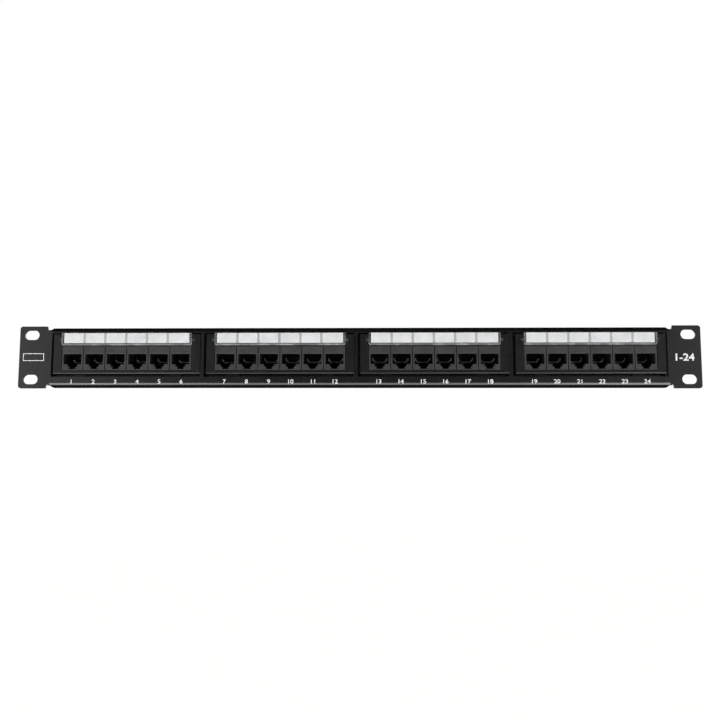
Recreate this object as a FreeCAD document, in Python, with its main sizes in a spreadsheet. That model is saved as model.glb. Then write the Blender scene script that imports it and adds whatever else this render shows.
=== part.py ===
import FreeCAD, Part
import math
import os
import Sketcher

# A one-unit 19-inch patch panel: a formed steel front panel, four snap-in modules of six
# eight-contact sockets each, and the punch-down terminals behind them.
# Frame: origin at the centre of the four rack slots, on the ears' rear face. X runs to the right
# as the panel is faced, Y to the back and Z up. Millimetres.
# NEAR is the tolerance of the tests on places, and OVERRUN how far a cut runs past a face.

DRIVING_SIZES = [
    ("panel_width", 482.6),
    ("panel_height", 44.45),
    ("sheet_thickness", 1.5),
    ("ear_corner_radius", 2.0),
    ("slot_spacing_x", 465.1),
    ("slot_spacing_z", 31.75),
    ("slot_length", 10.3),
    ("slot_width", 6.8),
    ("formed_height", 42.8),
    ("flange_rear", 6.0),
    ("bend_outer_radius", 3.5),
    ("bend_inner_radius", 2.0),
    ("relief_outer_x", 221.2),
    ("relief_inner_x", 217.35),
    ("relief_depth", 1.75),
    ("module_pitch", 109.3),
    ("window_left", 54.2),
    ("window_right", 52.6),
    ("window_end", 54.0),
    ("window_top", 17.4),
    ("window_bottom", -14.0),
    ("latch_spacing", 68.0),
    ("latch_slot_length", 8.6),
    ("latch_slot_front", 2.1),
    ("latch_slot_rear", 4.6),
    ("bezel_width", 104.6),
    ("bezel_top", 16.2),
    ("bezel_bottom", -12.2),
    ("bezel_face", -2.3),
    ("bezel_rear", 12.0),
    ("bezel_edge_radius", 0.9),
    ("backing_front", 4.4),
    ("backing_thickness", 1.4),
    ("backing_half_height", 19.6),
    ("backing_left", 55.2),
    ("backing_end_left", 58.4),
    ("backing_right", 53.9),
    ("backing_end_right", 58.0),
    ("rib_front", 0.15),
    ("rib_top", 17.3),
    ("rib_bottom", -13.9),
    ("latch_front", 2.4),
    ("latch_length", 8.0),
    ("latch_thickness", 1.85),
    ("latch_reach", 21.2),
    ("bay_half_width", 46.55),
    ("bay_top", 7.45),
    ("bay_bottom", -9.4),
    ("seat_half_width", 46.75),
    ("seat_bottom", 7.7),
    ("seat_depth", 0.9),
    ("label_pad_half_width", 44.9),
    ("label_pad_bottom", 9.8),
    ("label_pad_height", 1.6),
    ("snap_notch_outer", 48.5),
    ("snap_notch_bottom", 11.0),
    ("snap_notch_top", 13.0),
    ("board_front", 19.0),
    ("board_thickness", 1.6),
    ("board_width", 104.0),
    ("board_height", 36.0),
    ("screw_half_spacing", 49.6),
    ("screw_upper_z", 12.5),
    ("screw_lower_z", -8.5),
    ("screw_shank_radius", 1.2),
    ("screw_pilot_radius", 1.25),
    ("screw_board_hole_radius", 1.35),
    ("screw_grip", 6.4),
    ("screw_head_radius", 2.3),
    ("screw_head_height", 1.7),
    ("screw_recess_length", 2.8),
    ("screw_recess_width", 0.7),
    ("screw_recess_depth", 0.9),
    ("port_pitch", 15.46),
    ("jack_width", 14.96),
    ("jack_top", 7.3),
    ("jack_bottom", -9.3),
    ("cavity_depth", 18.0),
    ("cavity_half_width", 6.4),
    ("cavity_top", 2.2),
    ("cavity_shoulder", -5.2),
    ("step_half_width", 3.5),
    ("step_bottom", -6.9),
    ("tongue_half_width", 2.25),
    ("tongue_bottom", -8.6),
    ("roof_front", -0.9),
    ("roof_top", 4.9),
    ("roof_half_width", 4.5),
    ("guide_half_width", 5.5),
    ("guide_wall", 0.9),
    ("guide_corner", 1.8),
    ("guide_bottom", -2.4),
    ("guide_height", 1.2),
    ("socket_edge_radius", 0.45),
    ("wire_pitch", 1.02),
    ("wire_width", 0.4),
    ("wire_thickness", 0.3),
    ("wire_bend_radius", 0.55),
    ("wire_bend_y", 0.2),
    ("wire_bend_z", 3.6),
    ("wire_slope_degrees", 25.0),
    ("wire_tip_z", -0.75),
    ("lead_gap", 0.15),
    ("lead_hole_width", 0.6),
    ("paper_half_width", 44.75),
    ("paper_bottom", 10.0),
    ("paper_top", 17.0),
    ("paper_thickness", 0.3),
    ("cover_half_width", 46.1),
    ("cover_bottom", 8.4),
    ("cover_top", 17.1),
    ("cover_front", -4.4),
    ("cover_wall", 0.9),
    ("cover_rear", -1.5),
    ("cover_tab_outer", 48.2),
    ("cover_tab_bottom", 11.1),
    ("cover_tab_top", 12.9),
    ("cover_tab_thickness", 0.7),
    ("cover_edge_chamfer", 0.7),
    ("block_width", 94.0),
    ("block_height", 10.0),
    ("block_depth", 12.0),
    ("block_offset", 10.0),
    ("terminal_pitch", 3.865),
    ("terminal_slot_width", 0.9),
    ("terminal_slot_depth", 7.0),
    ("blade_pocket_width", 2.9),
    ("blade_pocket_height", 0.7),
    ("blade_width", 2.7),
    ("blade_thickness", 0.5),
    ("blade_length", 10.2),
    ("blade_slit_width", 0.35),
    ("blade_slit_depth", 6.0),
]
MODULES = 4
PORTS_PER_MODULE = 6
WIRES_PER_PORT = 8
TERMINALS_PER_BLOCK = 24
NEAR = 1e-4
OVERRUN = 1.0
RIGHT = FreeCAD.Vector(1, 0, 0)
BACK = FreeCAD.Vector(0, 1, 0)


class Size:
    """A dimension with its value and the sheet expression that gives it."""

    def __init__(self, value, text):
        self.value = value
        self.text = text

    def joined(self, other, sign, value):
        text = other.text if isinstance(other, Size) else str(other)
        return Size(value, "(" + self.text + " " + sign + " " + text + ")")

    def __add__(self, other):
        return self.joined(other, "+", self.value + amount(other))

    def __sub__(self, other):
        return self.joined(other, "-", self.value - amount(other))

    def __mul__(self, other):
        return self.joined(other, "*", self.value * amount(other))

    def __truediv__(self, other):
        return self.joined(other, "/", self.value / amount(other))

    def __neg__(self):
        return self * -1


def amount(size):
    return size.value if isinstance(size, Size) else size


ZERO = Size(0.0, "0")


def make_sheet(doc):
    """The spreadsheet with one named cell for each driving size, and the sizes by name."""
    sheet = doc.addObject("Spreadsheet::Sheet", "Sizes")
    for row, (name, value) in enumerate(DRIVING_SIZES, start=1):
        cell = "B" + str(row)
        sheet.set("A" + str(row), name)
        sheet.set(cell, str(value))
        sheet.setAlias(cell, name)
    doc.recompute()
    return {name: Size(float(sheet.get(name)), "Sizes." + name) for name, _ in DRIVING_SIZES}


# ---- sketch and feature helpers -------------------------------------------------------------


def new_body(doc, label, x=None):
    """A PartDesign body, placed along X."""
    body = doc.addObject("PartDesign::Body", label)
    body.Label = label
    if x is not None:
        body.setExpression("Placement.Base.x", x.text)
    return body


def sketch_on(body, name, role="XZ_Plane", offset=None):
    """A sketch on one of the body's origin planes, moved along the plane's normal."""
    sketch = body.newObject("Sketcher::SketchObject", name)
    plane = next(item for item in body.Origin.OriginFeatures if item.Role == role)
    sketch.AttachmentSupport = [(plane, "")]
    sketch.MapMode = "FlatFace"
    if offset is not None:
        sketch.AttachmentOffset = FreeCAD.Placement(
            FreeCAD.Vector(0, 0, offset.value), FreeCAD.Rotation()
        )
        sketch.setExpression("AttachmentOffset.Base.z", offset.text)
    return sketch


def front_sketch(body, name, y=None):
    """A sketch facing the viewer, at depth y; its X is the panel's X and its Y the panel's Z."""
    return sketch_on(body, name, offset=None if y is None else -y)


def pin_point(sketch, geometry, end, x, y):
    """Hold one point of a curve at sheet-driven coordinates."""
    for kind, size in (("DistanceX", x), ("DistanceY", y)):
        row = sketch.addConstraint(Sketcher.Constraint(kind, -1, 1, geometry, end, size.value))
        sketch.setExpression("Constraints[" + str(row) + "]", size.text)


def polygon(sketch, corners):
    """A closed outline of straight sides through sheet-driven corners."""
    points = [FreeCAD.Vector(x.value, y.value, 0) for x, y in corners]
    sides = []
    for start, end in zip(points, points[1:] + points[:1]):
        sides.append(sketch.addGeometry(Part.LineSegment(start, end), False))
    for side, following in zip(sides, sides[1:] + sides[:1]):
        sketch.addConstraint(Sketcher.Constraint("Coincident", side, 2, following, 1))
    for side, (x, y) in zip(sides, corners):
        pin_point(sketch, side, 1, x, y)


def rectangle(sketch, left, bottom, right, top):
    polygon(sketch, [(left, bottom), (right, bottom), (right, top), (left, top)])


def circle(sketch, x, y, radius):
    centre = FreeCAD.Vector(x.value, y.value, 0)
    ring = sketch.addGeometry(
        Part.Circle(centre, FreeCAD.Vector(0, 0, 1), radius.value), False
    )
    pin_point(sketch, ring, 3, x, y)
    row = sketch.addConstraint(Sketcher.Constraint("Radius", ring, radius.value))
    sketch.setExpression("Constraints[" + str(row) + "]", radius.text)


def obround(sketch, x, y, length, width):
    """A slot with round ends, lying along the sketch's X."""
    radius = width / 2
    reach = length / 2 - radius
    up = FreeCAD.Vector(0, 0, 1)
    quarter = math.pi / 2
    right_centre = FreeCAD.Vector((x + reach).value, y.value, 0)
    left_centre = FreeCAD.Vector((x - reach).value, y.value, 0)
    rise = FreeCAD.Vector(0, radius.value, 0)
    curves = [
        Part.ArcOfCircle(Part.Circle(right_centre, up, radius.value), -quarter, quarter),
        Part.LineSegment(right_centre + rise, left_centre + rise),
        Part.ArcOfCircle(Part.Circle(left_centre, up, radius.value), quarter, 3 * quarter),
        Part.LineSegment(left_centre - rise, right_centre - rise),
    ]
    rows = [sketch.addGeometry(curve, False) for curve in curves]
    for first, second in zip(rows, rows[1:] + rows[:1]):
        sketch.addConstraint(Sketcher.Constraint("Tangent", first, 2, second, 1))
    pin_point(sketch, rows[0], 3, x + reach, y)
    pin_point(sketch, rows[2], 3, x - reach, y)
    for arc in (rows[0], rows[2]):
        row = sketch.addConstraint(Sketcher.Constraint("Radius", arc, radius.value))
        sketch.setExpression("Constraints[" + str(row) + "]", radius.text)


def pad(body, sketch, length, backwards=True):
    """Add material from the sketch, towards the back of the panel unless told otherwise."""
    feature = body.newObject("PartDesign::Pad", sketch.Label + "_pad")
    feature.Profile = sketch
    feature.Reversed = backwards
    feature.setExpression("Length", length.text)
    body.Document.recompute()
    return feature


def pocket(body, sketch, depth=None):
    """Cut from the sketch towards the back to a depth, or right through both ways."""
    volume_before = body.Shape.Volume
    feature = body.newObject("PartDesign::Pocket", sketch.Label + "_pocket")
    feature.Profile = sketch
    if depth is None:
        feature.Type = "ThroughAll"
        feature.Midplane = True
    else:
        feature.Type = "Length"
        feature.setExpression("Length", depth.text)
    body.Document.recompute()
    if body.Shape.Volume >= volume_before - NEAR:
        raise RuntimeError(feature.Label + " cuts nothing")
    return feature


def row_of(body, feature, sketch, length, count):
    """Repeat a pocket along the sketch's X over the given length."""
    pattern = body.newObject("PartDesign::LinearPattern", feature.Label + "_row")
    pattern.Originals = [feature]
    pattern.Direction = (sketch, ["H_Axis"])
    pattern.setExpression("Length", length.text)
    pattern.Occurrences = count
    body.Tip = pattern
    body.Document.recompute()
    return pattern


def round_edges(body, radius, wanted, along=RIGHT, kind="PartDesign::Fillet"):
    """Round, or chamfer, the tip's straight edges along a direction whose ends pass a test."""
    base = body.Tip
    names = []
    for number, edge in enumerate(base.Shape.Edges, start=1):
        if edge.Curve.TypeId != "Part::GeomLine":
            continue
        parallel = abs(edge.Curve.Direction.dot(along)) > 1 - NEAR
        if parallel and all(wanted(vertex.Point) for vertex in edge.Vertexes):
            names.append("Edge" + str(number))
    if not names:
        raise RuntimeError(body.Label + ": no edge to round")
    feature = body.newObject(kind, body.Label + "_edges")
    feature.Base = (base, names)
    feature.setExpression("Radius" if kind.endswith("Fillet") else "Size", radius.text)
    body.Document.recompute()
    return feature


def near(value, size):
    return abs(value - amount(size)) < NEAR


def solid_group(doc, label, solids):
    """One node that holds several separate solids."""
    node = doc.addObject("Part::Feature", label)
    node.Label = label
    node.Shape = Part.makeCompound(solids)
    return node


def moved(shape, x=0.0, y=0.0, z=0.0):
    copy = shape.copy()
    copy.translate(FreeCAD.Vector(x, y, z))
    return copy


# ---- places ---------------------------------------------------------------------------------


def module_x(size, number):
    """The centre of a module, counted from 1 at the left."""
    return size["module_pitch"] * (number - (MODULES + 1) / 2)


def port_x(size, index):
    """The centre of a socket from its module's centre, counted from 0 at the left."""
    return size["port_pitch"].value * (index - (PORTS_PER_MODULE - 1) / 2)


def wire_places(size):
    """The centre of each contact wire from its socket's centre."""
    middle = (WIRES_PER_PORT - 1) / 2
    return [size["wire_pitch"].value * (index - middle) for index in range(WIRES_PER_PORT)]


def terminal_places(size):
    """The centre of each punch-down slot from its module's centre."""
    middle = (TERMINALS_PER_BLOCK - 1) / 2
    return [size["terminal_pitch"].value * (index - middle) for index in range(TERMINALS_PER_BLOCK)]


# ---- steel front panel ----------------------------------------------------------------------


def make_front_panel(doc, size):
    body = new_body(doc, "front_panel")
    half_width = size["panel_width"] / 2
    half_height = size["panel_height"] / 2
    half_formed = size["formed_height"] / 2
    thickness = size["sheet_thickness"]
    relief_outer = size["relief_outer_x"]
    relief_inner = size["relief_inner_x"]
    relief = size["relief_depth"]
    root = relief_inner + relief
    relief_z = half_formed - relief
    bend_end = half_formed - size["bend_outer_radius"]

    channel = sketch_on(body, "formed_channel", "YZ_Plane")
    flange_rear = size["flange_rear"]
    inside = half_formed - thickness
    polygon(
        channel,
        [
            (-thickness, -half_formed),
            (flange_rear, -half_formed),
            (flange_rear, -inside),
            (ZERO, -inside),
            (ZERO, inside),
            (flange_rear, inside),
            (flange_rear, half_formed),
            (-thickness, half_formed),
        ],
    )
    channel_pad = body.newObject("PartDesign::Pad", "formed_channel_pad")
    channel_pad.Profile = channel
    channel_pad.Midplane = True
    channel_pad.setExpression("Length", (root * 2).text)
    doc.recompute()

    def on_outer_bend(point):
        return near(point.y, -thickness) and near(abs(point.z), half_formed)

    def on_inner_bend(point):
        return near(point.y, 0) and near(abs(point.z), inside)

    round_edges(body, size["bend_outer_radius"], on_outer_bend)
    round_edges(body, size["bend_inner_radius"], on_inner_bend)

    ears = front_sketch(body, "ears")
    for side in (1, -1):
        upper = [
            ((root - relief) * side, bend_end),
            (root * side, bend_end),
            (root * side, relief_z),
            (relief_outer * side, relief_z),
            ((relief_outer + relief / 4) * side, half_height),
            (half_width * side, half_height),
        ]
        lower = [(x, -z) for x, z in reversed(upper)]
        polygon(ears, upper + lower)
    pad(body, ears, thickness, backwards=False)

    reliefs = front_sketch(body, "bend_reliefs")
    for side in (1, -1):
        for direction in (1, -1):
            polygon(
                reliefs,
                [
                    (relief_inner * side, half_formed * direction),
                    (root * side, relief_z * direction),
                    (root * side, half_height * direction),
                    (relief_inner * side, half_height * direction),
                ],
            )
    pocket(body, reliefs)

    rack = front_sketch(body, "rack_slots")
    for side in (0.5, -0.5):
        for direction in (0.5, -0.5):
            obround(
                rack,
                size["slot_spacing_x"] * side,
                size["slot_spacing_z"] * direction,
                size["slot_length"],
                size["slot_width"],
            )
    pocket(body, rack)

    windows = front_sketch(body, "module_windows")
    for number in range(1, MODULES + 1):
        centre = module_x(size, number)
        right = size["window_end"] if number == MODULES else size["window_right"]
        rectangle(
            windows,
            centre - size["window_left"],
            size["window_bottom"],
            centre + right,
            size["window_top"],
        )
    pocket(body, windows)

    latches = sketch_on(body, "latch_slots", "XY_Plane")
    half_slot = size["latch_slot_length"] / 2
    for number in range(1, MODULES + 1):
        for side in (0.5, -0.5):
            centre = module_x(size, number) + size["latch_spacing"] * side
            rectangle(
                latches,
                centre - half_slot,
                size["latch_slot_front"],
                centre + half_slot,
                size["latch_slot_rear"],
            )
    pocket(body, latches)

    def on_ear_corner(point):
        return near(abs(point.x), half_width) and near(abs(point.z), half_height)

    round_edges(body, size["ear_corner_radius"], on_ear_corner, BACK)
    return body


# ---- moulded module bezel -------------------------------------------------------------------


def make_bezel(doc, size, number):
    body = new_body(doc, "bezel_" + str(number), module_x(size, number))
    half = size["bezel_width"] / 2
    face = size["bezel_face"]
    rear = size["bezel_rear"]
    top = size["bezel_top"]
    bottom = size["bezel_bottom"]

    frame = front_sketch(body, "frame_" + str(number), face)
    rectangle(frame, -half, bottom, half, top)
    pad(body, frame, rear - face)

    backing = front_sketch(body, "backing_" + str(number), size["backing_front"])
    tall = size["backing_half_height"]
    left = size["backing_end_left"] if number == 1 else size["backing_left"]
    right = size["backing_end_right"] if number == MODULES else size["backing_right"]
    rectangle(backing, -left, -tall, right, tall)
    pad(body, backing, size["backing_thickness"])

    rib = front_sketch(body, "side_rib_" + str(number), size["rib_front"])
    rectangle(rib, half, size["rib_bottom"], right, size["rib_top"])
    pad(body, rib, size["backing_front"] - size["rib_front"])

    cheeks = front_sketch(body, "cheeks_" + str(number), rear)
    for side in (1, -1):
        rectangle(cheeks, half * side, bottom, size["seat_half_width"] * side, top)
    pad(body, cheeks, size["board_front"] - rear)

    latches = front_sketch(body, "latches_" + str(number), size["latch_front"])
    reach = size["latch_length"] / 2
    for side in (0.5, -0.5):
        centre = size["latch_spacing"] * side
        rectangle(latches, centre - reach, top, centre + reach, size["latch_reach"])
        rectangle(latches, centre - reach, -size["latch_reach"], centre + reach, bottom)
    pad(body, latches, size["latch_thickness"])

    bay = front_sketch(body, "socket_bay_" + str(number))
    bay_half = size["bay_half_width"]
    rectangle(bay, -bay_half, size["bay_bottom"], bay_half, size["bay_top"])
    pocket(body, bay)

    seat = front_sketch(body, "label_seat_" + str(number), face)
    seat_half = size["seat_half_width"]
    notch_outer = size["snap_notch_outer"]
    notch_low = size["snap_notch_bottom"]
    notch_high = size["snap_notch_top"]
    polygon(
        seat,
        [
            (-seat_half, size["seat_bottom"]),
            (seat_half, size["seat_bottom"]),
            (seat_half, notch_low),
            (notch_outer, notch_low),
            (notch_outer, notch_high),
            (seat_half, notch_high),
            (seat_half, top + OVERRUN),
            (-seat_half, top + OVERRUN),
            (-seat_half, notch_high),
            (-notch_outer, notch_high),
            (-notch_outer, notch_low),
            (-seat_half, notch_low),
        ],
    )
    pocket(body, seat, size["seat_depth"])

    label_pad = front_sketch(body, "label_pad_" + str(number), face + size["seat_depth"])
    pad_half = size["label_pad_half_width"]
    rectangle(label_pad, -pad_half, size["label_pad_bottom"], pad_half, top)
    pad(body, label_pad, size["label_pad_height"], backwards=False)

    pilots = front_sketch(body, "pilot_holes_" + str(number), size["board_front"] - size["screw_grip"])
    for side in (1, -1):
        for height in (size["screw_upper_z"], size["screw_lower_z"]):
            circle(pilots, size["screw_half_spacing"] * side, height, size["screw_pilot_radius"])
    pocket(body, pilots, size["screw_grip"])

    def on_lower_front_edge(point):
        return near(point.y, face) and near(point.z, bottom)

    round_edges(body, size["bezel_edge_radius"], on_lower_front_edge)
    return body


# ---- socket housings ------------------------------------------------------------------------


def make_jack_pattern(doc, size):
    """One socket housing, centred on X = 0."""
    body = new_body(doc, "jack_pattern")
    half = size["jack_width"] / 2
    face = size["bezel_face"]
    cavity_half = size["cavity_half_width"]
    step_half = size["step_half_width"]
    tongue_half = size["tongue_half_width"]

    block = front_sketch(body, "jack_block", face)
    rectangle(block, -half, size["jack_bottom"], half, size["jack_top"])
    pad(body, block, size["board_front"] - face)

    cavity = front_sketch(body, "plug_cavity", face)
    right_side = [
        (tongue_half, size["tongue_bottom"]),
        (tongue_half, size["step_bottom"]),
        (step_half, size["step_bottom"]),
        (step_half, size["cavity_shoulder"]),
        (cavity_half, size["cavity_shoulder"]),
        (cavity_half, size["cavity_top"]),
    ]
    left_side = [(-x, z) for x, z in reversed(right_side)]
    polygon(cavity, right_side + left_side)
    pocket(body, cavity, size["cavity_depth"])

    roof = front_sketch(body, "contact_channel", size["roof_front"])
    roof_half = size["roof_half_width"]
    rectangle(roof, -roof_half, size["cavity_top"] - OVERRUN, roof_half, size["roof_top"])
    cavity_rear = face + size["cavity_depth"]
    pocket(body, roof, cavity_rear - size["roof_front"])

    holes = front_sketch(body, "lead_holes", cavity_rear)
    half_hole = size["lead_hole_width"] / 2
    lead_z = size["wire_bend_z"] + size["wire_bend_radius"]
    for index in range(WIRES_PER_PORT):
        place = size["wire_pitch"] * (index - (WIRES_PER_PORT - 1) / 2)
        left = place - half_hole
        right = place + half_hole
        rectangle(holes, left, lead_z - half_hole, right, lead_z + half_hole)
    pocket(body, holes, size["board_front"] - cavity_rear)

    guide = front_sketch(body, "contact_guide", cavity_rear)
    outer = size["guide_half_width"]
    corner = size["guide_corner"]
    low = size["guide_bottom"]
    wall = size["guide_wall"]
    inner = outer - wall
    right_outside = [
        (outer - corner, low),
        (outer, low + corner),
        (outer, size["cavity_top"] - OVERRUN),
    ]
    right_inside = [
        (inner, size["cavity_top"] - OVERRUN),
        (inner, low + wall + corner),
        (inner - corner, low + wall),
    ]
    right = right_outside + right_inside
    left = [(-x, z) for x, z in reversed(right)]
    polygon(guide, right + left)
    pad(body, guide, size["guide_height"], backwards=False)

    def on_socket_upper_edge(point):
        return near(point.y, face) and near(point.z, size["cavity_top"])

    round_edges(body, size["socket_edge_radius"], on_socket_upper_edge)
    return body


def make_jack_housings(doc, size, number, pattern):
    centre = module_x(size, number).value
    solids = [
        moved(pattern.Shape, x=centre + port_x(size, index)) for index in range(PORTS_PER_MODULE)
    ]
    return solid_group(doc, "jack_housings_" + str(number), solids)


# ---- spring contacts and their leads --------------------------------------------------------


def contact_wire(size):
    """One spring contact: a curl at the front and a straight beam that slopes down to the back."""
    bend = FreeCAD.Vector(0, size["wire_bend_y"].value, size["wire_bend_z"].value)
    middle_radius = size["wire_bend_radius"].value
    half = size["wire_thickness"].value / 2
    slope = math.radians(size["wire_slope_degrees"].value)
    along = FreeCAD.Vector(0, math.cos(slope), -math.sin(slope))
    start_angle = math.pi / 2
    end_angle = 1.5 * math.pi - slope
    drop = size["wire_bend_z"].value - middle_radius * math.cos(slope) - size["wire_tip_z"].value
    length = drop / math.sin(slope)

    def on_curl(radius, angle):
        return bend + FreeCAD.Vector(0, radius * math.cos(angle), radius * math.sin(angle))

    def curl(radius):
        middle_angle = (start_angle + end_angle) / 2
        return Part.Arc(
            on_curl(radius, start_angle), on_curl(radius, middle_angle), on_curl(radius, end_angle)
        ).toShape()

    outer = middle_radius + half
    inner = middle_radius - half
    outer_tip = on_curl(outer, end_angle) + along * length
    inner_tip = on_curl(inner, end_angle) + along * length
    edges = [
        curl(outer),
        Part.makeLine(on_curl(outer, end_angle), outer_tip),
        Part.makeLine(outer_tip, inner_tip),
        Part.makeLine(inner_tip, on_curl(inner, end_angle)),
        curl(inner),
        Part.makeLine(on_curl(inner, start_angle), on_curl(outer, start_angle)),
    ]
    profile = Part.Face(Part.Wire(Part.__sortEdges__(edges)))
    wire = profile.extrude(FreeCAD.Vector(size["wire_width"].value, 0, 0))
    return moved(wire, x=-size["wire_width"].value / 2)


def make_contacts(doc, size, port):
    """The eight spring contacts of one socket; ports are counted from 1 at the left."""
    number = (port - 1) // PORTS_PER_MODULE + 1
    index = (port - 1) % PORTS_PER_MODULE
    centre = module_x(size, number).value + port_x(size, index)
    wire = contact_wire(size)
    solids = [moved(wire, x=centre + place) for place in wire_places(size)]
    return solid_group(doc, "contacts_{:02d}".format(port), solids)


def make_contact_leads(doc, size, number):
    """The straight leads in the housings' roofs, from the contacts to the board."""
    width = size["wire_width"].value
    thickness = size["wire_thickness"].value
    front = size["wire_bend_y"].value + size["lead_gap"].value
    low = size["wire_bend_z"].value + size["wire_bend_radius"].value - thickness / 2
    length = size["board_front"].value - front
    lead = Part.makeBox(width, length, thickness, FreeCAD.Vector(-width / 2, front, low))
    centre = module_x(size, number).value
    solids = []
    for index in range(PORTS_PER_MODULE):
        for place in wire_places(size):
            solids.append(moved(lead, x=centre + port_x(size, index) + place))
    return solid_group(doc, "contact_leads_" + str(number), solids)


# ---- label strip and its clear cover --------------------------------------------------------


def make_label_paper(doc, size, number):
    paper = doc.addObject("Part::Box", "label_paper_" + str(number))
    paper.Label = "label_paper_" + str(number)
    rear = size["bezel_face"] + size["seat_depth"] - size["label_pad_height"]
    paper.setExpression("Length", (size["paper_half_width"] * 2).text)
    paper.setExpression("Width", size["paper_thickness"].text)
    paper.setExpression("Height", (size["paper_top"] - size["paper_bottom"]).text)
    centre = module_x(size, number)
    paper.setExpression("Placement.Base.x", (centre - size["paper_half_width"]).text)
    paper.setExpression("Placement.Base.y", (rear - size["paper_thickness"]).text)
    paper.setExpression("Placement.Base.z", size["paper_bottom"].text)
    return paper


def make_label_cover(doc, size, number):
    body = new_body(doc, "label_cover_" + str(number), module_x(size, number))
    half = size["cover_half_width"]
    front = size["cover_front"]
    rear = size["cover_rear"]
    wall = size["cover_wall"]
    bottom = size["cover_bottom"]
    top = size["cover_top"]

    tray = front_sketch(body, "cover_tray_" + str(number), front)
    rectangle(tray, -half, bottom, half, top)
    pad(body, tray, rear - front)

    hollow = front_sketch(body, "cover_hollow_" + str(number), front + wall)
    rectangle(hollow, wall - half, bottom + wall, half - wall, top + OVERRUN)
    pocket(body, hollow, rear - front)

    tabs = front_sketch(body, "cover_tabs_" + str(number), rear - size["cover_tab_thickness"])
    for side in (1, -1):
        rectangle(
            tabs,
            half * side - wall * side / 2,
            size["cover_tab_bottom"],
            size["cover_tab_outer"] * side,
            size["cover_tab_top"],
        )
    pad(body, tabs, size["cover_tab_thickness"])

    def on_lower_front_edge(point):
        return near(point.y, front) and near(point.z, bottom)

    chamfer = size["cover_edge_chamfer"]
    round_edges(body, chamfer, on_lower_front_edge, kind="PartDesign::Chamfer")
    return body


# ---- circuit board, terminal blocks and screws ----------------------------------------------


def make_circuit_board(doc, size, number):
    body = new_body(doc, "circuit_board_" + str(number), module_x(size, number))
    half_width = size["board_width"] / 2
    half_height = size["board_height"] / 2
    sheet = front_sketch(body, "board_outline_" + str(number), size["board_front"])
    rectangle(sheet, -half_width, -half_height, half_width, half_height)
    for side in (1, -1):
        for height in (size["screw_upper_z"], size["screw_lower_z"]):
            circle(sheet, size["screw_half_spacing"] * side, height, size["screw_board_hole_radius"])
    pad(body, sheet, size["board_thickness"])
    return body


def make_block_pattern(doc, size):
    """One punch-down block with its row of wire slots, centred on X = 0 and Z = 0."""
    body = new_body(doc, "block_pattern")
    half_width = size["block_width"] / 2
    half_height = size["block_height"] / 2
    front = size["board_front"] + size["board_thickness"]
    depth = size["block_depth"]
    first = -(size["terminal_pitch"] * ((TERMINALS_PER_BLOCK - 1) / 2))
    row_length = size["terminal_pitch"] * (TERMINALS_PER_BLOCK - 1)

    block = front_sketch(body, "block_outline", front)
    rectangle(block, -half_width, -half_height, half_width, half_height)
    pad(body, block, depth)

    slot = front_sketch(body, "wire_slot", front + depth - size["terminal_slot_depth"])
    half_slot = size["terminal_slot_width"] / 2
    past = half_height + OVERRUN
    rectangle(slot, first - half_slot, -past, first + half_slot, past)
    slot_pocket = pocket(body, slot, size["terminal_slot_depth"])
    row_of(body, slot_pocket, slot, row_length, TERMINALS_PER_BLOCK)

    blade = front_sketch(body, "blade_slot", front)
    half_blade = size["blade_pocket_width"] / 2
    half_gap = size["blade_pocket_height"] / 2
    rectangle(blade, first - half_blade, -half_gap, first + half_blade, half_gap)
    blade_pocket = pocket(body, blade, depth)
    row_of(body, blade_pocket, blade, row_length, TERMINALS_PER_BLOCK)
    return body


def make_idc_blocks(doc, size, number, pattern):
    centre = module_x(size, number).value
    offset = size["block_offset"].value
    solids = [moved(pattern.Shape, x=centre, z=offset * direction) for direction in (1, -1)]
    return solid_group(doc, "idc_blocks_" + str(number), solids)


def make_idc_contacts(doc, size, number):
    """The forked blades that grip the wires, one in each slot."""
    width = size["blade_width"].value
    thickness = size["blade_thickness"].value
    length = size["blade_length"].value
    slit_width = size["blade_slit_width"].value
    slit_depth = size["blade_slit_depth"].value
    front = size["board_front"].value + size["board_thickness"].value
    plate = Part.makeBox(width, length, thickness, FreeCAD.Vector(-width / 2, front, -thickness / 2))
    slit_corner = FreeCAD.Vector(-slit_width / 2, front + length - slit_depth, -thickness)
    blade = plate.cut(Part.makeBox(slit_width, slit_depth, 2 * thickness, slit_corner))
    centre = module_x(size, number).value
    offset = size["block_offset"].value
    solids = []
    for direction in (1, -1):
        for place in terminal_places(size):
            solids.append(moved(blade, x=centre + place, z=offset * direction))
    return solid_group(doc, "idc_contacts_" + str(number), solids)


def board_screw(size):
    """A pan-head screw with a cross recess, along Y, its head behind the board."""
    head_front = size["board_front"].value + size["board_thickness"].value
    head_height = size["screw_head_height"].value
    tip = size["board_front"].value - size["screw_grip"].value + NEAR
    shank = Part.makeCylinder(
        size["screw_shank_radius"].value, head_front - tip, FreeCAD.Vector(0, tip, 0), BACK
    )
    head = Part.makeCylinder(
        size["screw_head_radius"].value, head_height, FreeCAD.Vector(0, head_front, 0), BACK
    )
    screw = shank.fuse(head).removeSplitter()
    length = size["screw_recess_length"].value
    width = size["screw_recess_width"].value
    depth = size["screw_recess_depth"].value
    floor = head_front + head_height - depth
    for x_size, z_size in ((length, width), (width, length)):
        corner = FreeCAD.Vector(-x_size / 2, floor, -z_size / 2)
        screw = screw.cut(Part.makeBox(x_size, 2 * depth, z_size, corner))
    return screw


def make_board_screws(doc, size):
    screw = board_screw(size)
    solids = []
    for number in range(1, MODULES + 1):
        for side in (1, -1):
            x = module_x(size, number).value + side * size["screw_half_spacing"].value
            for height in (size["screw_upper_z"], size["screw_lower_z"]):
                solids.append(moved(screw, x=x, z=height.value))
    return solid_group(doc, "board_screws", solids)


# ---- the whole panel ------------------------------------------------------------------------


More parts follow.
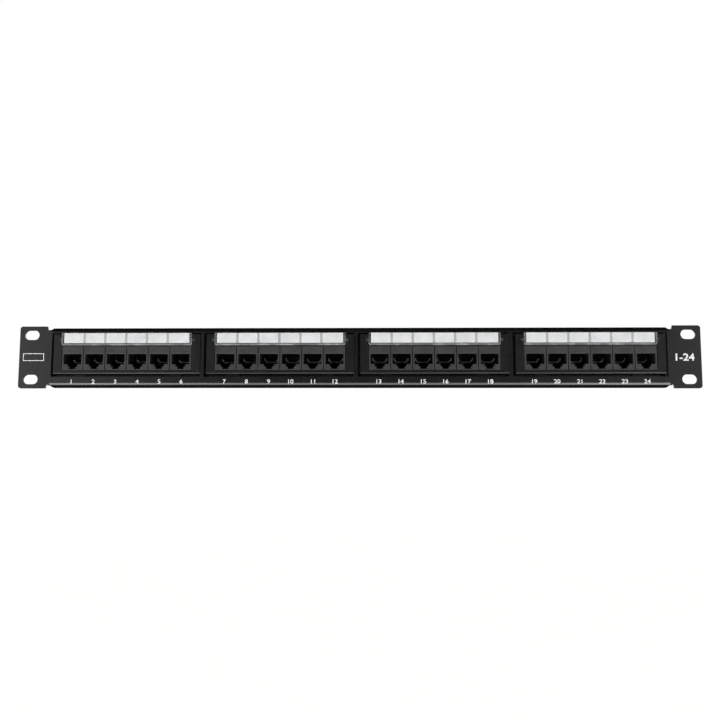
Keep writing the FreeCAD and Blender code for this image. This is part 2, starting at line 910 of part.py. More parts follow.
def build():
    doc = FreeCAD.newDocument("patch_panel")
    size = make_sheet(doc)
    jack_pattern = make_jack_pattern(doc, size)
    block_pattern = make_block_pattern(doc, size)
    nodes = [make_front_panel(doc, size)]
    for number in range(1, MODULES + 1):
        nodes.append(make_bezel(doc, size, number))
        nodes.append(make_jack_housings(doc, size, number, jack_pattern))
        nodes.append(make_contact_leads(doc, size, number))
        nodes.append(make_label_paper(doc, size, number))
        nodes.append(make_label_cover(doc, size, number))
        nodes.append(make_circuit_board(doc, size, number))
        nodes.append(make_idc_blocks(doc, size, number, block_pattern))
        nodes.append(make_idc_contacts(doc, size, number))
    for port in range(1, MODULES * PORTS_PER_MODULE + 1):
        nodes.append(make_contacts(doc, size, port))
    nodes.append(make_board_screws(doc, size))
    doc.recompute()
    return doc, nodes


def check(doc, nodes):
    """Stop if any object failed to compute or any node's shape isn't a valid solid."""
    for item in doc.Objects:
        if "Invalid" in item.State or "Error" in item.State:
            raise RuntimeError(item.Label + " failed: " + ", ".join(item.State))
    for node in nodes:
        shape = node.Shape
        if shape.isNull() or not shape.isValid() or not shape.Solids:
            raise RuntimeError(node.Label + " has no valid solid")


def write(nodes):
    os.makedirs("parts", exist_ok=True)
    for node in nodes:
        node.Shape.exportStep("parts/" + node.Label + ".step")
        print(node.Label, len(node.Shape.Solids), round(node.Shape.Volume, 1))


document, panel_nodes = build()
check(document, panel_nodes)
write(panel_nodes)
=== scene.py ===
import math

import bmesh
import bpy
import numpy as np
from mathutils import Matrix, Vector


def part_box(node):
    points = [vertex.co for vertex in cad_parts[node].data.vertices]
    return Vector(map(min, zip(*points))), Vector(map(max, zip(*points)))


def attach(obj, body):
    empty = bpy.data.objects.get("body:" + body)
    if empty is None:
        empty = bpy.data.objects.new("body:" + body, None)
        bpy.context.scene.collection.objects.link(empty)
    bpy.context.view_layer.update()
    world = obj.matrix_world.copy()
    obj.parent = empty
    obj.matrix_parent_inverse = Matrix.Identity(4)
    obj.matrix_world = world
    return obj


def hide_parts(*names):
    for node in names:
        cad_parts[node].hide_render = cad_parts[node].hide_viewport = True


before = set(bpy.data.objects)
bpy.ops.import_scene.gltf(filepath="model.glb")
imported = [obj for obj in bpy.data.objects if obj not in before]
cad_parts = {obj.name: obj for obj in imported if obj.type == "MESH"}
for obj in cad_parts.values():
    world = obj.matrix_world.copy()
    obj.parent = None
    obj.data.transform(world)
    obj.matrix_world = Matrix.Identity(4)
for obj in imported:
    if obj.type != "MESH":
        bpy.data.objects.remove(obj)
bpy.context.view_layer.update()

MM = 0.001
MODULES = range(1, 5)
PORTS = range(1, 25)
PORTS_PER_MODULE = 6
# how far a face has to look straight forwards or back, out of 1, to count as a front or rear face
FACING = 0.9


# ---- materials: shared effects --------------------------------------------------------------

def new_group(name, inputs, outputs):
    """A shader node group with named float inputs (name, default) and outputs (name, socket type)."""
    group = bpy.data.node_groups.new(name, "ShaderNodeTree")
    for label, default in inputs:
        socket = group.interface.new_socket(label, in_out="INPUT", socket_type="NodeSocketFloat")
        socket.default_value = default
    for label, kind in outputs:
        group.interface.new_socket(label, in_out="OUTPUT", socket_type=kind)
    return group, group.nodes.new("NodeGroupInput"), group.nodes.new("NodeGroupOutput")


def node(tree, kind, values=None, links=None, **settings):
    """A node with its settings, socket values and incoming links, all by name."""
    made = tree.nodes.new(kind)
    for key, value in settings.items():
        setattr(made, key, value)
    for key, value in (values or {}).items():
        made.inputs[key].default_value = value
    for key, source in (links or {}).items():
        tree.links.new(source, made.inputs[key])
    return made


def math_node(tree, operation, first, second=None, third=None):
    """The result of a Math node on up to three numbers or sockets."""
    made = tree.nodes.new("ShaderNodeMath")
    made.operation = operation
    for index, item in enumerate((first, second, third)):
        if item is None:
            continue
        if isinstance(item, (int, float)):
            made.inputs[index].default_value = item
        else:
            tree.links.new(item, made.inputs[index])
    return made.outputs[0]


def make_grain_group():
    """Fine moulded or powder-coat grain: two noises of different size, as a height and a tone."""
    group, given, result = new_group(
        "surface_grain",
        [("Size", 0.4), ("Mottle Size", 9.0)],
        [("Height", "NodeSocketFloat"), ("Tone", "NodeSocketFloat")],
    )
    place = node(group, "ShaderNodeTexCoord").outputs["Object"]
    fine_scale = math_node(group, "DIVIDE", 1.0 / MM, given.outputs["Size"])
    fine = node(
        group,
        "ShaderNodeTexNoise",
        values={"Detail": 2.0, "Roughness": 0.6},
        links={"Vector": place, "Scale": fine_scale},
    )
    mottle_scale = math_node(group, "DIVIDE", 1.0 / MM, given.outputs["Mottle Size"])
    mottle = node(
        group,
        "ShaderNodeTexNoise",
        values={"Detail": 3.0, "Roughness": 0.55},
        links={"Vector": place, "Scale": mottle_scale},
    )
    tone = math_node(group, "MULTIPLY_ADD", fine.outputs["Fac"], 0.35, 0.0)
    tone = math_node(group, "MULTIPLY_ADD", mottle.outputs["Fac"], 0.65, tone)
    group.links.new(fine.outputs["Fac"], result.inputs["Height"])
    group.links.new(tone, result.inputs["Tone"])
    return group


def make_edge_group():
    """Worn or polished edges: where the rounded normal leaves the true one, broken up by noise."""
    group, given, result = new_group(
        "edge_wear", [("Radius", 0.4), ("Strength", 0.5)], [("Mask", "NodeSocketFloat")]
    )
    radius = math_node(group, "MULTIPLY", given.outputs["Radius"], MM)
    rounded = node(group, "ShaderNodeBevel", links={"Radius": radius}, samples=4)
    true_normal = node(group, "ShaderNodeNewGeometry").outputs["Normal"]
    agree = node(group, "ShaderNodeVectorMath", operation="DOT_PRODUCT")
    group.links.new(rounded.outputs["Normal"], agree.inputs[0])
    group.links.new(true_normal, agree.inputs[1])
    turned = math_node(group, "SUBTRACT", 1.0, agree.outputs["Value"])
    raised = math_node(group, "MULTIPLY", turned, 6.0)
    place = node(group, "ShaderNodeTexCoord").outputs["Object"]
    patchy = node(
        group,
        "ShaderNodeTexNoise",
        values={"Scale": 400.0, "Detail": 3.0},
        links={"Vector": place},
    )
    broken = math_node(group, "MULTIPLY", raised, patchy.outputs["Fac"])
    strength = math_node(group, "MULTIPLY", broken, given.outputs["Strength"])
    mask = node(group, "ShaderNodeClamp", links={"Value": strength})
    group.links.new(mask.outputs["Result"], result.inputs["Mask"])
    return group


GRAIN = make_grain_group()
EDGE_WEAR = make_edge_group()


def finish(name, dark, light, worn, rough, grain_size, grain_depth, edge=(0.3, 0.5), mottle=9.0, **fixed):
    """A grained, edge-worn surface. dark and light are the ends of its colour variation, worn the
    colour of its edges, rough its (low, high) roughness, edge the (radius, strength) of the wear,
    and fixed any other shader values. Sizes and depths are in millimetres."""
    material = bpy.data.materials.new(name)
    material.use_nodes = True
    tree = material.node_tree
    shader = tree.nodes["Principled BSDF"]
    for key, value in fixed.items():
        shader.inputs[key.replace("_", " ")].default_value = value
    grain = node(tree, "ShaderNodeGroup", node_tree=GRAIN)
    grain.inputs["Size"].default_value = grain_size
    grain.inputs["Mottle Size"].default_value = mottle
    wear = node(tree, "ShaderNodeGroup", node_tree=EDGE_WEAR)
    wear.inputs["Radius"].default_value = edge[0]
    wear.inputs["Strength"].default_value = edge[1]
    tone = node(tree, "ShaderNodeMapRange", links={"Value": grain.outputs["Tone"]})
    tone.inputs["From Min"].default_value = 0.3
    tone.inputs["From Max"].default_value = 0.7
    colour = node(tree, "ShaderNodeMix", data_type="RGBA")
    colour.inputs["A"].default_value = (*dark, 1)
    colour.inputs["B"].default_value = (*light, 1)
    tree.links.new(tone.outputs["Result"], colour.inputs["Factor"])
    edged = node(tree, "ShaderNodeMix", data_type="RGBA")
    edged.inputs["B"].default_value = (*worn, 1)
    tree.links.new(wear.outputs["Mask"], edged.inputs["Factor"])
    tree.links.new(colour.outputs["Result"], edged.inputs["A"])
    tree.links.new(edged.outputs["Result"], shader.inputs["Base Color"])
    roughness = node(tree, "ShaderNodeMapRange", links={"Value": grain.outputs["Tone"]})
    roughness.inputs["To Min"].default_value = rough[0]
    roughness.inputs["To Max"].default_value = rough[1]
    tree.links.new(roughness.outputs["Result"], shader.inputs["Roughness"])
    bump = node(tree, "ShaderNodeBump", links={"Height": grain.outputs["Height"]})
    bump.inputs["Strength"].default_value = 0.6
    bump.inputs["Distance"].default_value = grain_depth * MM
    tree.links.new(bump.outputs["Normal"], shader.inputs["Normal"])
    return material


def grey(value):
    """A colour with the same value in red, green and blue."""
    return (value, value, value)


def make_clear_cover(name, haze, glancing_sheen, rough):
    """Clear plastic: almost invisible face-on, whiter and shinier at a glancing angle, where the pale base
    showing through is a painted sheen.
    """
    material = finish(
        name, (0.55, 0.56, 0.57), (0.75, 0.76, 0.77), grey(0.9), rough, 0.6, 0.002, edge=(0.2, 0.6)
    )
    tree = material.node_tree
    shader = tree.nodes["Principled BSDF"]
    # At a glancing angle the pale base covers more of the clear: a painted sheen.
    glance = node(tree, "ShaderNodeLayerWeight", values={"Blend": 0.35})
    alpha = node(tree, "ShaderNodeMapRange", links={"Value": glance.outputs["Facing"]})
    alpha.inputs["To Min"].default_value = haze
    alpha.inputs["To Max"].default_value = glancing_sheen
    place = node(tree, "ShaderNodeTexCoord").outputs["Object"]
    smears = node(
        tree, "ShaderNodeTexNoise", values={"Scale": 0.11 / MM, "Detail": 2.0}, links={"Vector": place}
    )
    patchy = node(tree, "ShaderNodeMapRange", links={"Value": smears.outputs["Fac"]})
    patchy.inputs["From Min"].default_value = 0.35
    patchy.inputs["From Max"].default_value = 0.65
    patchy.inputs["To Min"].default_value = 0.45
    haze_and_sheen = math_node(tree, "MULTIPLY", alpha.outputs["Result"], patchy.outputs["Result"])
    tree.links.new(haze_and_sheen, shader.inputs["Alpha"])
    return material


def make_label_card():
    """White card, slightly fibrous, with a warm-cool mottle."""
    return finish(
        "label_card",
        (0.73, 0.745, 0.75),
        (0.79, 0.795, 0.80),
        grey(0.9),
        (0.55, 0.7),
        0.25,
        0.01,
        edge=(0.15, 0.3),
        mottle=4.0,
    )


def make_solder_mask():
    """Green board coating over copper tracks, which show as lighter lines on a square grid."""
    material = finish(
        "solder_mask",
        (0.006, 0.045, 0.018),
        (0.010, 0.075, 0.030),
        (0.12, 0.16, 0.08),
        (0.22, 0.34),
        0.8,
        0.004,
        edge=(0.2, 0.5),
    )
    tree = material.node_tree
    shader = tree.nodes["Principled BSDF"]
    place = node(tree, "ShaderNodeTexCoord").outputs["Object"]
    bands = node(
        tree,
        "ShaderNodeTexBrick",
        values={
            "Scale": 1.0 / (18 * MM),
            "Mortar Size": 0.012,
            "Mortar Smooth": 0.1,
            "Brick Width": 0.6,
            "Row Height": 0.14,
        },
        offset=0.37,
    )
    turn = node(tree, "ShaderNodeMapping", links={"Vector": place})
    turn.inputs["Rotation"].default_value = (math.radians(90), 0, 0)
    tree.links.new(turn.outputs["Vector"], bands.inputs["Vector"])
    tracks = node(tree, "ShaderNodeMix", data_type="RGBA")
    tracks.inputs["B"].default_value = (0.03, 0.17, 0.06, 1)
    source = shader.inputs["Base Color"].links[0].from_socket
    tree.links.new(bands.outputs["Fac"], tracks.inputs["Factor"])
    tree.links.new(source, tracks.inputs["A"])
    tree.links.new(tracks.outputs["Result"], shader.inputs["Base Color"])
    return material


def make_wiring_ink():
    """The wiring guide's print: each cell's own colour from the mesh, slightly uneven."""
    material = finish(
        "wiring_ink", grey(0.7), grey(0.8), grey(0.85), (0.4, 0.55), 0.3, 0.004, edge=(0.1, 0.2)
    )
    tree = material.node_tree
    shader = tree.nodes["Principled BSDF"]
    ink = node(tree, "ShaderNodeAttribute", attribute_name="ink")
    tinted = node(tree, "ShaderNodeMix", data_type="RGBA", blend_type="MULTIPLY")
    tinted.inputs["Factor"].default_value = 1.0
    source = shader.inputs["Base Color"].links[0].from_socket
    tree.links.new(source, tinted.inputs["A"])
    tree.links.new(ink.outputs["Color"], tinted.inputs["B"])
    tree.links.new(tinted.outputs["Result"], shader.inputs["Base Color"])
    return material


POWDER_COAT = finish(
    "powder_coat", (0.002, 0.0022, 0.0024), (0.005, 0.0052, 0.0054), grey(0.04), (0.22, 0.32), 0.45, 0.004,
    edge=(0.3, 0.06), Specular_IOR_Level=0.85,
)
BEZEL_PLASTIC = finish(
    "bezel_plastic", (0.003, 0.0036, 0.0042), (0.007, 0.0078, 0.0084), grey(0.06), (0.26, 0.38), 0.25, 0.008,
    edge=(0.3, 0.5),
)
SOCKET_PLASTIC = finish(
    "socket_plastic", (0.022, 0.0225, 0.0235), (0.042, 0.0425, 0.0435), grey(0.09), (0.36, 0.5), 0.3, 0.01,
    edge=(0.25, 0.25), mottle=5.0,
)
# Painted shade: a darker, less shiny copy of the socket plastic for the faces deep in each socket, where
# shadow falls.
SOCKET_PAINTED_SHADE = finish(
    "socket_painted_shade", (0.003, 0.0034, 0.0038), (0.006, 0.0065, 0.007), grey(0.03), (0.6, 0.8), 0.3, 0.01,
    edge=(0.25, 0.3), mottle=5.0, Specular_IOR_Level=0.25,
)
# Painted highlight: a pale grey for the contact carrier's rim deep in each socket, standing for light that
# reaches it from the front.
CARRIER_PAINTED_HIGHLIGHT = finish(
    "carrier_painted_highlight", grey(0.36), grey(0.55), grey(0.6), (0.3, 0.45), 0.3, 0.01, edge=(0.2, 0.4),
    mottle=4.0,
)
TERMINAL_PLASTIC = finish(
    "terminal_plastic", (0.02, 0.0205, 0.021), (0.032, 0.0325, 0.033), grey(0.1), (0.4, 0.55), 0.3, 0.012,
    edge=(0.25, 0.6),
)
GOLD_WIRE = finish(
    "gold_wire", (0.58, 0.45, 0.24), (0.74, 0.60, 0.36), (0.95, 0.85, 0.6), (0.12, 0.22), 0.15, 0.002,
    edge=(0.05, 0.4), mottle=1.5, Metallic=1.0,
)
TINNED_BLADE = finish(
    "tinned_blade", (0.52, 0.52, 0.5), (0.68, 0.68, 0.66), grey(0.85), (0.25, 0.42), 0.2, 0.004,
    edge=(0.05, 0.4), mottle=1.5, Metallic=1.0,
)
ZINC_SCREW = finish(
    "zinc_screw", (0.5, 0.5, 0.47), (0.66, 0.66, 0.62), grey(0.85), (0.22, 0.4), 0.3, 0.005,
    edge=(0.15, 0.5), mottle=2.0, Metallic=1.0,
)
SOLDER = finish(
    "solder", (0.55, 0.56, 0.57), (0.72, 0.73, 0.74), grey(0.85), (0.14, 0.3), 0.4, 0.01,
    edge=(0.1, 0.2), mottle=1.0, Metallic=1.0,
)
WHITE_INK = finish(
    "white_ink", grey(0.74), grey(0.86), grey(0.8), (0.5, 0.65), 0.2, 0.006, edge=(0.05, 0.1), mottle=2.0
)
GREY_INK = finish(
    "grey_ink", grey(0.40), grey(0.50), grey(0.5), (0.5, 0.65), 0.2, 0.004, edge=(0.05, 0.1), mottle=2.0
)
# Painted highlight: pale lines round each label field, where the fields' edges catch the light.
PALE_PAINTED_HIGHLIGHT = finish(
    "pale_painted_highlight", grey(0.86), grey(0.93), grey(0.95), (0.4, 0.55), 0.2, 0.004, edge=(0.05, 0.1), mottle=2.0
)
LABEL_CARD = make_label_card()
CLEAR_FACE = make_clear_cover("clear_cover_face", 0.05, 0.75, (0.08, 0.16))
# The cover's rim and rungs: a hazier, whiter clear, a painted highlight where clear edges catch the light.
CLEAR_EDGE_PAINTED_HIGHLIGHT = make_clear_cover("clear_cover_edge_painted_highlight", 0.3, 0.8, (0.15, 0.3))
SOLDER_MASK = make_solder_mask()
WIRING_INK = make_wiring_ink()


# ---- pieces ---------------------------------------------------------------------------------


# Rounding radii, text heights and strokes, and the bars' places are in millimetres unless they say MM.
JOIN_DISTANCE = 0.002 * MM
SHARP_ANGLE = math.radians(30)
PLANE_STEP = 0.01 * MM
NORMAL_STEPS = 200
BROAD_AREA = 3 * MM * MM
BEVEL_SEGMENTS = 2


def read(collection, field, width):
    """One field of every item of a mesh's collection, as an array of count rows by width."""
    values = np.empty(len(collection) * width)
    collection.foreach_get(field, values)
    return values.reshape(-1, width)


def add_piece(name, mesh, material, body="panel"):
    """A new object at the origin, in one finish, that rides on a body."""
    piece = bpy.data.objects.new(name, mesh)
    bpy.context.scene.collection.objects.link(piece)
    if material is not None:
        mesh.materials.clear()
        mesh.materials.append(material)
    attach(piece, body)
    return piece


def recoat(name, material):
    """Give a CAD node its finish."""
    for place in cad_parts[name].material_slots:
        place.material = material


def whole_flats(mesh):
    """Which faces belong to a broad flat side: more than two triangles in one plane, and over
    three square millimetres between them. The rest are the strips of round edges and bores."""
    normals = read(mesh.polygons, "normal", 3)
    centres = read(mesh.polygons, "center", 3)
    areas = read(mesh.polygons, "area", 1).ravel()
    offsets = (normals * centres).sum(axis=1) / PLANE_STEP
    planes = np.round(np.column_stack([normals * NORMAL_STEPS, offsets])).astype(np.int64)
    _, member, sizes = np.unique(planes, axis=0, return_inverse=True, return_counts=True)
    member = member.ravel()
    spread = np.bincount(member, weights=areas)
    return (sizes[member] > 2) & (spread[member] > BROAD_AREA)


def joined_copy(name):
    """A copy of a CAD node's mesh with its loose triangles joined, smooth only where it is round."""
    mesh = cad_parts[name].data.copy()
    mesh.name = name + "_skin"
    work = bmesh.new()
    work.from_mesh(mesh)
    bmesh.ops.remove_doubles(work, verts=work.verts, dist=JOIN_DISTANCE)
    work.to_mesh(mesh)
    work.free()
    mesh.polygons.foreach_set("use_smooth", np.ones(len(mesh.polygons), dtype=bool))
    mesh.set_sharp_from_angle(angle=SHARP_ANGLE)
    mesh.polygons.foreach_set("use_smooth", ~whole_flats(mesh))
    return mesh


def mark_sharp(mesh):
    """Weigh every sharp edge for rounding."""
    sharp = read(mesh.attributes["sharp_edge"].data, "value", 1)
    weight = mesh.attributes.new("bevel_weight_edge", "FLOAT", "EDGE")
    weight.data.foreach_set("value", sharp.ravel().astype(np.float32))


def keep_flats(piece):
    """Let large flat faces lead the shading, so that a bend's highlight starts where the bend does."""
    flats = piece.modifiers.new("flat faces stay flat", "WEIGHTED_NORMAL")
    flats.mode = "FACE_AREA"
    flats.weight = 100
    flats.keep_sharp = True


def soft_edged(name, material, radius, body="panel"):
    """A CAD node's shape with its sharp edges rounded by a small bevel, in the node's place."""
    mesh = joined_copy(name)
    mark_sharp(mesh)
    piece = add_piece(name + "_shell", mesh, material, body)
    bevel = piece.modifiers.new("soft edges", "BEVEL")
    bevel.width = radius * MM
    bevel.segments = BEVEL_SEGMENTS
    bevel.limit_method = "WEIGHT"
    bevel.use_clamp_overlap = False
    keep_flats(piece)
    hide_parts(name)
    return piece


def crisp(name, material):
    """A CAD node's shape with its edges as they are, in the node's place."""
    piece = add_piece(name + "_shell", joined_copy(name), material)
    keep_flats(piece)
    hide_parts(name)
    return piece


def many_boxes(name, low, high):
    """One mesh of many boxes from arrays of their lowest and highest corners."""
    low = np.asarray(low, dtype=float).reshape(-1, 3)
    high = np.asarray(high, dtype=float).reshape(-1, 3)
    corner = np.array([[i & 1, i >> 1 & 1, i >> 2 & 1] for i in range(8)], dtype=float)
    points = low[:, None, :] + corner[None, :, :] * (high - low)[:, None, :]
    sides = np.array(
        [[0, 2, 3, 1], [4, 5, 7, 6], [0, 1, 5, 4], [2, 6, 7, 3], [0, 4, 6, 2], [1, 3, 7, 5]]
    )
    faces = sides[None, :, :] + 8 * np.arange(len(low))[:, None, None]
    mesh = bpy.data.meshes.new(name)
    mesh.from_pydata(points.reshape(-1, 3).tolist(), [], faces.reshape(-1, 4).tolist())
    return mesh


CAP_HEIGHT = 0.7
PRINT_THICKNESS = 0.015 * MM
PRINT_LIFT = 0.02 * MM
SLICE_HEIGHT = 0.35 * MM
BEND_RADIUS = 3.5 * MM
FORMED_HALF = 21.4 * MM
steel_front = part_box("front_panel")[0][1]


def slice_across(mesh, step):
    """Cut a flat mesh along lines of equal height, so that it can follow a curved face."""
    heights = read(mesh.vertices, "co", 3)[:, 1]
    work = bmesh.new()
    work.from_mesh(mesh)
    for height in np.arange(heights.min() + step, heights.max(), step):
        everything = work.verts[:] + work.edges[:] + work.faces[:]
        bmesh.ops.bisect_plane(work, geom=everything, plane_co=(0, height, 0), plane_no=(0, 1, 0))
    work.to_mesh(mesh)
    work.free()


def steel_face(z):
    """The depth of the steel's front face at height z: flat, then round the bends' quarter circles."""
    past = np.clip(np.abs(z) - (FORMED_HALF - BEND_RADIUS), 0, BEND_RADIUS)
    return steel_front + BEND_RADIUS - np.sqrt(BEND_RADIUS**2 - past**2)


def printed_text(name, words, centre, height, material, stroke, wide):
    """Printing on the steel: flat letters about the centre (x, z) in metres, stretched wide across,
    each point moved to the steel's depth at its height. Height and stroke are in millimetres."""
    curve = bpy.data.curves.new(name, "FONT")
    curve.body = words
    curve.align_x = "CENTER"
    curve.align_y = "CENTER"
    curve.size = height * MM / CAP_HEIGHT
    curve.offset = stroke * MM
    curve.extrude = PRINT_THICKNESS
    curve.resolution_u = 6
    source = bpy.data.objects.new(name + "_curve", curve)
    bpy.context.scene.collection.objects.link(source)
    depsgraph = bpy.context.evaluated_depsgraph_get()
    mesh = bpy.data.meshes.new_from_object(source.evaluated_get(depsgraph))
    bpy.data.objects.remove(source)
    slice_across(mesh, SLICE_HEIGHT)
    points = read(mesh.vertices, "co", 3)
    middle = (points.max(axis=0) + points.min(axis=0)) / 2
    across = centre[0] + wide * (points[:, 0] - middle[0])
    up = centre[1] + points[:, 1] - middle[1]
    out = points[:, 2] + PRINT_LIFT
    placed = np.stack([across, steel_face(up) - out, up], axis=1)
    mesh.vertices.foreach_set("co", placed.ravel())
    mesh.update()
    return add_piece(name, mesh, material)


def face_outwards(mesh):
    """Turn every face of a closed mesh outwards."""
    work = bmesh.new()
    work.from_mesh(mesh)
    bmesh.ops.recalc_face_normals(work, faces=work.faces)
    work.to_mesh(mesh)
    work.free()


def middle_of(name):
    """The middle of a CAD node's box."""
    low, high = (np.array(corner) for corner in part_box(name))
    return (low + high) / 2


# ---- panel, bezels, sockets -----------------------------------------------------------------

BEZEL_ROUNDING = 0.11
TERMINAL_ROUNDING = 0.1
SCREW_ROUNDING = 0.1
COVER_ROUNDING = 0.2
RIM_FRONT = 14.5 * MM
RIM_TOLERANCE = 0.1 * MM
# Faces deeper than this get the socket's painted shade.
PAINTED_SHADE_FRONT = -1.8 * MM

crisp("front_panel", POWDER_COAT)
for number in MODULES:
    soft_edged(f"bezel_{number}", BEZEL_PLASTIC, BEZEL_ROUNDING)
    soft_edged(f"idc_blocks_{number}", TERMINAL_PLASTIC, TERMINAL_ROUNDING)
    recoat(f"label_paper_{number}", LABEL_CARD)
    recoat(f"contact_leads_{number}", GOLD_WIRE)
    recoat(f"idc_contacts_{number}", TINNED_BLADE)
    recoat(f"circuit_board_{number}", SOLDER_MASK)
for port in PORTS:
    recoat(f"contacts_{port:02d}", GOLD_WIRE)
soft_edged("board_screws", ZINC_SCREW, SCREW_ROUNDING)


def make_jacks(number):
    """The socket housings: satin faces; a darker, duller inside, which is painted shade in the cavities; and
    the contact carrier's rim painted paler as a painted highlight.
    """
    mesh = crisp(f"jack_housings_{number}", SOCKET_PLASTIC).data
    mesh.materials.append(SOCKET_PAINTED_SHADE)
    mesh.materials.append(CARRIER_PAINTED_HIGHLIGHT)
    forward = read(mesh.polygons, "normal", 3)[:, 1] < -FACING
    depth = read(mesh.polygons, "center", 3)[:, 1]
    # the rim's forward faces are painted pale: a painted highlight
    highlight_rim = forward & (np.abs(depth - RIM_FRONT) < RIM_TOLERANCE)
    # deeper faces are painted darker: painted shade inside the socket
    painted_shade = depth > PAINTED_SHADE_FRONT
    mesh.polygons.foreach_set("material_index", np.where(highlight_rim, 2, painted_shade).astype(np.int32))


def make_cover(number):
    """The clear cover: see-through face, and a rim painted whiter and hazier as a painted highlight where
    its edges catch the light.
    """
    name = f"label_cover_{number}"
    mesh = soft_edged(name, CLEAR_FACE, COVER_ROUNDING, body=f"cover_{number}").data
    mesh.materials.append(CLEAR_EDGE_PAINTED_HIGHLIGHT)
    # faces that don't look forwards or back get the rim's painted highlight
    facing = np.abs(read(mesh.polygons, "normal", 3)[:, 1]) > FACING
    mesh.polygons.foreach_set("material_index", np.where(facing, 0, 1).astype(np.int32))


for number in MODULES:
    make_jacks(number)
    make_cover(number)


# ---- printing on the steel ------------------------------------------------------------------

NUMBER_HEIGHT = 2.9
NUMBER_Z = -17.4 * MM
NUMBER_PITCH = 15.71 * MM
NUMBER_STROKE = 0.055
NUMBER_WIDE = 1.12
MIDDLE_PLACE = (PORTS_PER_MODULE - 1) / 2
COUNT_CENTRE = (229.9 * MM, -0.3 * MM)
COUNT_HEIGHT = 4.9
COUNT_STROKE = 0.16
COUNT_WIDE = 1.15
WRITE_ON_BOX = (-238.5, -2.6, -223.5, 2.8)
WRITE_ON_LINE = 0.45
INK_THICKNESS = 0.03

for port in PORTS:
    number = (port - 1) // PORTS_PER_MODULE + 1
    place = (port - 1) % PORTS_PER_MODULE
    x = middle_of(f"circuit_board_{number}")[0] + (place - MIDDLE_PLACE) * NUMBER_PITCH
    printed_text(
        f"port_number_{port:02d}",
        str(port),
        (x, NUMBER_Z),
        NUMBER_HEIGHT,
        WHITE_INK,
        NUMBER_STROKE,
        NUMBER_WIDE,
    )


def outline_boxes(left, low, right, high, line):
    """The four bars of a rectangular outline, as (left, low, right, high) rows."""
    return [
        (left, low, right, low + line),
        (left, high - line, right, high),
        (left, low + line, left + line, high - line),
        (right - line, low + line, right, high - line),
    ]


def printed_bars(name, bars, front, material, thick=INK_THICKNESS, backwards=False):
    """Flat printed bars, from rows of (left, low, right, high) in mm, on a face at depth front."""
    bars = np.asarray(bars, dtype=float) * MM
    outer = front + thick * MM if backwards else front - thick * MM
    near_y = np.full(len(bars), min(front, outer))
    far_y = np.full(len(bars), max(front, outer))
    low = np.stack([bars[:, 0], near_y, bars[:, 1]], axis=1)
    high = np.stack([bars[:, 2], far_y, bars[:, 3]], axis=1)
    return add_piece(name, many_boxes(name, low, high), material)


printed_text("ear_port_count", "1-24", COUNT_CENTRE, COUNT_HEIGHT, WHITE_INK, COUNT_STROKE, COUNT_WIDE)
printed_bars("ear_write_on_box", outline_boxes(*WRITE_ON_BOX, WRITE_ON_LINE), steel_front, WHITE_INK)


# ---- printing and painted highlights on the label strips ------------------------------------

FIELD_PITCH = 14.9
FIELD_SHIFT = -0.4
DIVIDER_WIDTH = 1.9
# width of the painted highlight lines round each field
OUTLINE = 0.28
FIELD_MARGIN = 0.1


def print_label(number):
    """Grey bands between the six fields of a label strip, and a pale outline round each field, which is a
    painted highlight along the fields' edges.
    """
    low, high = (np.array(corner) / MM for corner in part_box(f"label_paper_{number}"))
    front = low[1] * MM
    middle = (low[0] + high[0]) / 2 + FIELD_SHIFT
    centres = middle + FIELD_PITCH * (np.arange(PORTS_PER_MODULE - 1) - 2)
    half = DIVIDER_WIDTH / 2
    bands = [(x - half, low[2], x + half, high[2]) for x in centres]
    printed_bars(f"label_bands_{number}", bands, front, GREY_INK)
    lefts = np.concatenate([[low[0]], centres + half])
    rights = np.concatenate([centres - half, [high[0]]])
    # a pale painted highlight round each field
    highlight_lines = []
    for left, right in zip(lefts, rights):
        highlight_lines += outline_boxes(
            left + FIELD_MARGIN,
            low[2] + FIELD_MARGIN,
            right - FIELD_MARGIN,
            high[2] - FIELD_MARGIN,
            OUTLINE,
        )
    printed_bars(f"label_highlight_lines_{number}", highlight_lines, front, PALE_PAINTED_HIGHLIGHT)


for number in MODULES:
    print_label(number)


# ---- the back: solder joints and wiring guides ----------------------------------------------

JOINT_Z = 3.95
JOINT_RADIUS = 0.42
JOINT_HEIGHT = 0.55
JOINT_SIDES = 8
JOINT_RISE = np.array([0.0, 0.4, 0.8, 1.2, 1.5])
LEAD_GAP = 0.5
LEAD_HALF_WIDTH = 0.2


